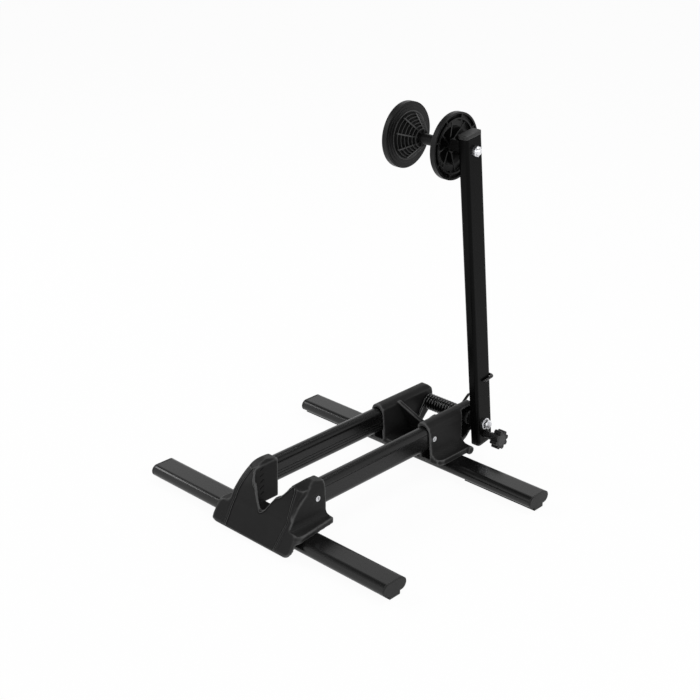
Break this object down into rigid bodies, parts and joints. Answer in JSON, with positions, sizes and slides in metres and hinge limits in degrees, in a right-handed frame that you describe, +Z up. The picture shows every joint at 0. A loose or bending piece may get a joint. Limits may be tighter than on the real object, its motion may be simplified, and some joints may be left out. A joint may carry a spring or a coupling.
{
  "type": "floor bike rack",
  "caption": "Floor stand that holds a bicycle wheel between rails, with a V cradle, a saddle and a sprung arm carrying a double-cone roller.",
  "frame": {"origin": "middle of the overall box at floor level", "axes": "+X to the arm's side along the feet, +Y from the front cradle to the rear bracket, +Z up"},
  "size_m": [0.414, 0.395, 0.4929],
  "materials": {
    "foot_paint": "satin black powder coat",
    "rail_paint": "semi-gloss black anodised look",
    "arm_paint": "semi-gloss black",
    "moulding": "fine matt grain",
    "cap_plastic": "satin",
    "top_cap_plastic": "satin",
    "cone_plastic": "satin",
    "knob_plastic": "satin",
    "disc_plastic": "satin",
    "pad_rubber": "matt",
    "bush_nylon": "smooth nylon",
    "spring_steel": "gloss black coated wire",
    "zinc": "bright zinc",
    "bright_nut": "bright plated"
  },
  "bodies": {
    "base": {"front_foot_tube": "foot_paint", "rear_foot_tube": "foot_paint", "front_foot_caps": "cap_plastic", "rear_foot_caps": "cap_plastic", "front_foot_pads": "pad_rubber", "rear_foot_pads": "pad_rubber", "left_rail": "rail_paint", "right_rail": "rail_paint", "front_cradle": "moulding", "rear_bracket": "moulding", "front_rail_screws": "zinc", "rear_rail_screws": "zinc", "front_foot_screws": "zinc", "rear_foot_screws": "zinc", "pivot_bolt": "zinc", "pivot_nut": "bright_nut", "pivot_washer": "zinc", "cheek_bushes": "bush_nylon", "pivot_spacer": "bush_nylon"},
    "spring": {"spring_sleeve": "bush_nylon", "torsion_spring": "spring_steel"},
    "arm": {"arm_tube": "arm_paint", "arm_top_cap": "top_cap_plastic", "arm_bottom_cap": "cap_plastic", "arm_bush": "bush_nylon", "axle_bolt": "zinc", "axle_nut": "bright_nut", "axle_spacer": "bush_nylon", "knob_insert": "zinc"},
    "roller": {"left_cone": "cone_plastic", "right_cone": "cone_plastic", "cone_bushes": "bush_nylon"},
    "knob_carrier": {"knob_washer": "zinc"},
    "knob": {"knob_grip": "knob_plastic", "knob_stud": "zinc", "knob_disc": "disc_plastic"}
  },
  "joints": [
    {"name": "arm_swing", "type": "hinge", "parent": "base", "child": "spring", "pos_m": [0, 0.1794, 0.056], "axis": [1, 0, 0], "range_deg": [-40, 0], "stiffness_Nm_per_rad": 12, "springref_deg": 8.59, "deforming": ["torsion_spring"]},
    {"name": "arm_fold", "type": "hinge", "parent": "spring", "child": "arm", "pos_m": [0, 0.1794, 0.056], "axis": [1, 0, 0], "range_deg": [0, 70]},
    {"name": "roller_spin", "type": "hinge", "parent": "arm", "child": "roller", "pos_m": [0, 0.12263, 0.44993], "axis": [1, 0, 0], "continuous": true},
    {"name": "knob_travel", "type": "slide", "parent": "arm", "child": "knob_carrier", "axis": [1, 0, 0], "range_m": [-0.0005, 0.004]},
    {"name": "knob_turn", "type": "hinge", "parent": "knob_carrier", "child": "knob", "pos_m": [0.07235, 0.1818, 0.03937], "axis": [1, 0, 0], "range_deg": [-180, 1440]}
  ],
  "couplings": [
    {"joint": "knob_turn", "follows": "knob_travel", "rad_per_m": 6283.2}
  ]
}
